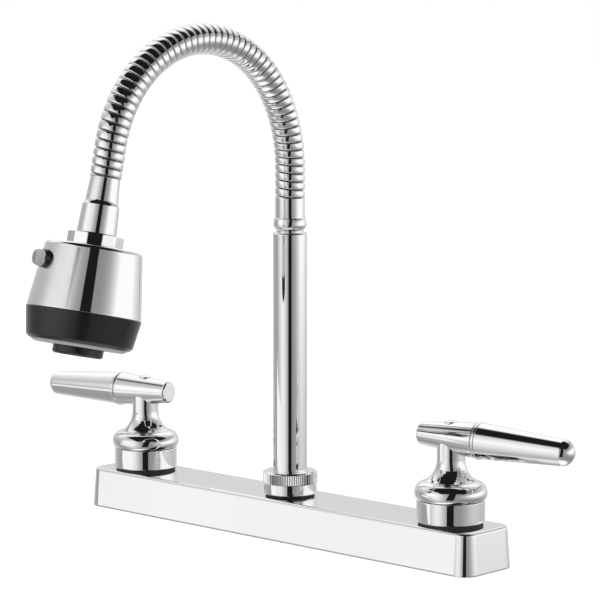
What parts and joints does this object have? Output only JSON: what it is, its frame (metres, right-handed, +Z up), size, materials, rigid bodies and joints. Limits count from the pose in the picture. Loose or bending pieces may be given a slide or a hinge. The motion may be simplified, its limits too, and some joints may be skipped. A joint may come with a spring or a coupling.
{
  "type": "kitchen faucet",
  "caption": "Chrome kitchen faucet with a flat deck, lever handles and a ribbed flexible gooseneck that carries a push-button spray head.",
  "frame": {"origin": "centre of the deck's underside, in the plane that rests on the sink, on the axis of the spout tube", "axes": "+X towards the cold handle, on the right of a person at the sink; -Y towards that person, the way the spout reaches; +Z up"},
  "size_m": [0.33, 0.1789, 0.2488],
  "materials": {
    "chrome": "polished",
    "steel": "polished",
    "brass": "machined",
    "rubber": "matte",
    "ceramic": "lapped",
    "white_plastic": "moulded",
    "black_plastic": "satin",
    "grey_plastic": "moulded"
  },
  "bodies": {
    "deck": {"deck_cover": "chrome", "base_gasket": "rubber", "hot_valve_body": "brass", "hot_lock_nut": "brass", "hot_seat_gasket": "rubber", "hot_escutcheon": "chrome", "hot_cartridge_nut": "brass", "hot_cartridge": "brass", "hot_cartridge_seal": "rubber", "hot_fixed_disc": "ceramic", "cold_valve_body": "brass", "cold_lock_nut": "brass", "cold_seat_gasket": "rubber", "cold_escutcheon": "chrome", "cold_cartridge_nut": "brass", "cold_cartridge": "brass", "cold_cartridge_seal": "rubber", "cold_fixed_disc": "ceramic", "hot_waterway": "brass", "cold_waterway": "brass", "spout_hub": "brass", "spout_seat_gasket": "rubber", "spout_nut": "chrome"},
    "hot_side_handle": {"hot_moving_disc": "ceramic", "hot_stem": "brass", "hot_stem_seal": "rubber", "hot_handle": "chrome", "hot_lever_collar": "chrome", "hot_lever": "chrome", "hot_handle_screw": "steel", "hot_index_cap": "chrome"},
    "cold_side_handle": {"cold_moving_disc": "ceramic", "cold_stem": "brass", "cold_stem_seal": "rubber", "cold_handle": "chrome", "cold_lever_collar": "chrome", "cold_lever": "chrome", "cold_handle_screw": "steel", "cold_index_cap": "chrome"},
    "spout": {"spout_bushing": "brass", "spout_seal": "rubber", "spout_retaining_ring": "steel", "spout_tube": "chrome", "hose_ferrule": "chrome", "gooseneck_hose": "steel", "inner_hose": "rubber"},
    "hose_end": {"head_ferrule": "chrome"},
    "spray_head": {"head_nut": "chrome", "swivel_washer": "rubber", "head_shell": "chrome", "head_core": "white_plastic", "head_band": "black_plastic", "spray_plate": "grey_plastic", "nozzle": "black_plastic", "aerator": "white_plastic"},
    "diverter": {"diverter_spool": "white_plastic", "diverter_seals": "rubber", "diverter_button": "black_plastic", "diverter_plug": "black_plastic"}
  },
  "joints": [
    {"name": "hot_handle_turn", "type": "hinge", "parent": "deck", "child": "hot_side_handle", "pos_m": [-0.1016, 0, 0.0601], "axis": [0, 0, 1], "range_deg": [0, 90]},
    {"name": "cold_handle_turn", "type": "hinge", "parent": "deck", "child": "cold_side_handle", "pos_m": [0.1016, 0, 0.0601], "axis": [0, 0, 1], "range_deg": [-90, 0]},
    {"name": "spout_swivel", "type": "hinge", "parent": "deck", "child": "spout", "pos_m": [0, 0, 0.03], "axis": [0, 0, 1], "continuous": true},
    {"name": "gooseneck_bend", "type": "hinge", "parent": "spout", "child": "hose_end", "pos_m": [0, -0.0567, 0.2417], "axis": [1, 0, 0], "range_deg": [-30, 30], "deforming": ["gooseneck_hose", "inner_hose"]},
    {"name": "head_swivel", "type": "hinge", "parent": "hose_end", "child": "spray_head", "pos_m": [0, -0.1206, 0.1808], "axis": [0, 0.225, 0.9744], "continuous": true},
    {"name": "diverter_slide", "type": "slide", "parent": "spray_head", "child": "diverter", "axis": [0.2588, 0.9412, -0.2173], "range_m": [0, 0.004]}
  ]
}
